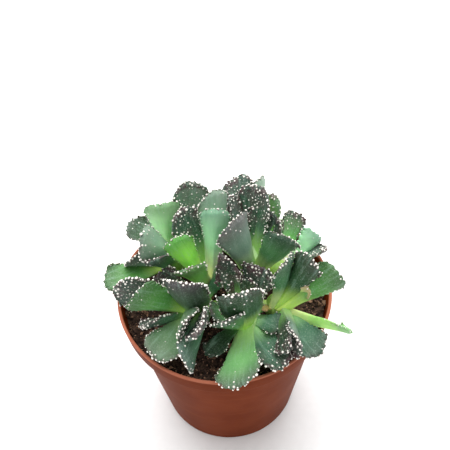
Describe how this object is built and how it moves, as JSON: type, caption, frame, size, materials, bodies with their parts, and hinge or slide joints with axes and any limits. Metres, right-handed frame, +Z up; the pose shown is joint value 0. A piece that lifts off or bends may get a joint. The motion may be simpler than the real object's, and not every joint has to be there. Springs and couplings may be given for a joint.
{
  "type": "potted succulent",
  "caption": "Clump of warty-leaved living stones, spoon-shaped toothed leaves in tight heads, standing in soil in a small round tapered plastic nursery pot.",
  "frame": {"origin": "centre of the pot's flat base, on the surface that it stands on", "axes": "+Z up along the pot's axis; -Y towards the side seen in the source view, +X to the right of that view"},
  "size_m": [0.0613, 0.0595, 0.0736],
  "materials": {
    "pot_plastic": "satin",
    "soil": "matte",
    "leaf": "satin"
  },
  "bodies": {
    "root": {"pot": "pot_plastic", "soil": "soil", "head_front": "leaf", "head_back": "leaf", "head_centre": "leaf", "head_left": "leaf", "head_back_left": "leaf", "head_right": "leaf", "head_back_right": "leaf"}
  },
  "joints": []
}
